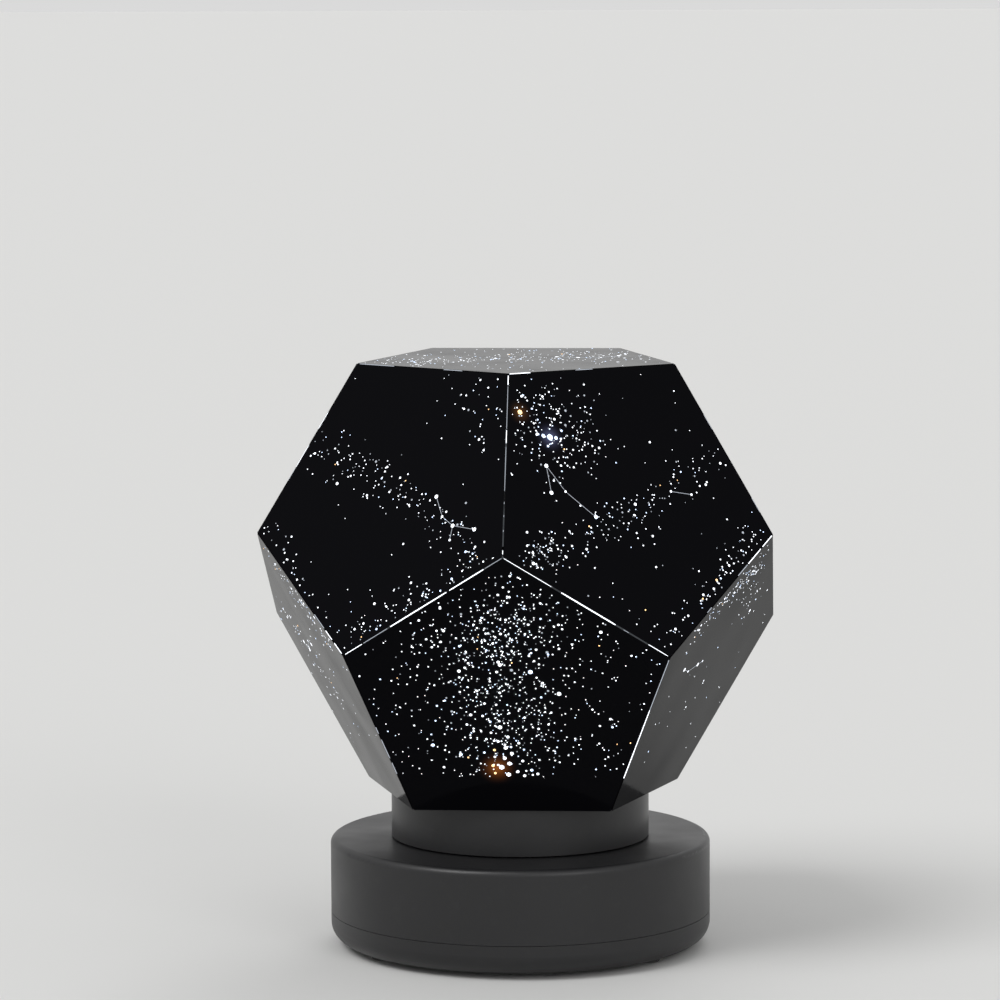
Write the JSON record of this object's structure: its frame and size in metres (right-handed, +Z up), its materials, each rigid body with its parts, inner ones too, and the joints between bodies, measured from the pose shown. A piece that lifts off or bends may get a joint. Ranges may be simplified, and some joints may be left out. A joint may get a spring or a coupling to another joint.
{
  "type": "planetarium projector",
  "caption": "Table-top star projector: a twelve-sided globe of black film with clear star dots, on a turntable over a round battery base with LEDs.",
  "frame": {"origin": "centre of the underside, on the table, under the upright axis that the globe turns about", "axes": "+Z up along the turning axis; the front, towards which a corner of the globe's top face points, faces -Y; the switch and power socket are at the back, +Y"},
  "size_m": [0.1568, 0.1648, 0.1824],
  "materials": {
    "film": "black printed film with clear star dots, high gloss",
    "clear_strip": "thin clear film, light shows through",
    "plate_plastic": "fine texture",
    "base_plastic": "satin moulded black, fine texture",
    "knob_plastic": "satin",
    "washer_plastic": "natural white, slippery",
    "foot_rubber": "matt",
    "screw_steel": "zinc plated",
    "cell_can": "printed can, gloss",
    "contact_metal": "nickel plated",
    "board_laminate": "green lacquer",
    "part_plastic": "moulded",
    "capacitor_can": "sleeved can",
    "led_lens": "clear epoxy",
    "wire_red": "insulated wire",
    "wire_black": "insulated wire"
  },
  "bodies": {
    "base": {"base_lower_shell": "base_plastic", "base_upper_shell": "base_plastic", "lamp_plate": "base_plastic", "thrust_washer": "washer_plastic", "rubber_feet": "foot_rubber", "shell_screws": "screw_steel", "board_screws": "screw_steel", "lamp_plate_screws": "screw_steel", "battery_cell_1": "cell_can", "battery_cell_2": "cell_can", "battery_cell_3": "cell_can", "contact_plates": "contact_metal", "battery_springs": "contact_metal", "led_leads": "contact_metal", "power_socket": "contact_metal", "circuit_board": "board_laminate", "led_board": "board_laminate", "switch_body": "part_plastic", "resistors": "part_plastic", "driver_chip": "part_plastic", "wire_header": "part_plastic", "capacitor": "capacitor_can", "led_white": "led_lens", "led_warm": "led_lens", "led_blue": "led_lens", "battery_wire_red": "wire_red", "battery_wire_black": "wire_black", "lamp_wires": "wire_black"},
    "turntable": {"turntable": "base_plastic"},
    "globe": {"star_panel_top": "film", "star_panel_upper_1": "film", "star_panel_upper_2": "film", "star_panel_upper_3": "film", "star_panel_upper_4": "film", "star_panel_upper_5": "film", "star_panel_lower_1": "film", "star_panel_lower_2": "film", "star_panel_lower_3": "film", "star_panel_lower_4": "film", "star_panel_lower_5": "film", "top_seam_strips": "clear_strip", "upper_seam_strips": "clear_strip", "equator_seam_strips": "clear_strip", "lower_seam_strips": "clear_strip", "globe_base_plate": "plate_plastic"},
    "battery_door": {"battery_door": "base_plastic"},
    "switch_knob": {"switch_knob": "knob_plastic"}
  },
  "joints": [
    {"name": "turntable_turn", "type": "hinge", "parent": "base", "child": "turntable", "pos_m": [0, 0, 0.034], "axis": [0, 0, 1], "continuous": true},
    {"name": "globe_lift", "type": "slide", "parent": "turntable", "child": "globe", "axis": [0, 0, 1], "range_m": [0, 0.08]},
    {"name": "switch_slide", "type": "slide", "parent": "base", "child": "switch_knob", "axis": [-1, 0, 0], "range_m": [0, 0.006]},
    {"name": "battery_door_swing", "type": "hinge", "parent": "base", "child": "battery_door", "pos_m": [0, 0.0064, 0.0025], "axis": [1, 0, 0], "range_deg": [0, 75]}
  ]
}
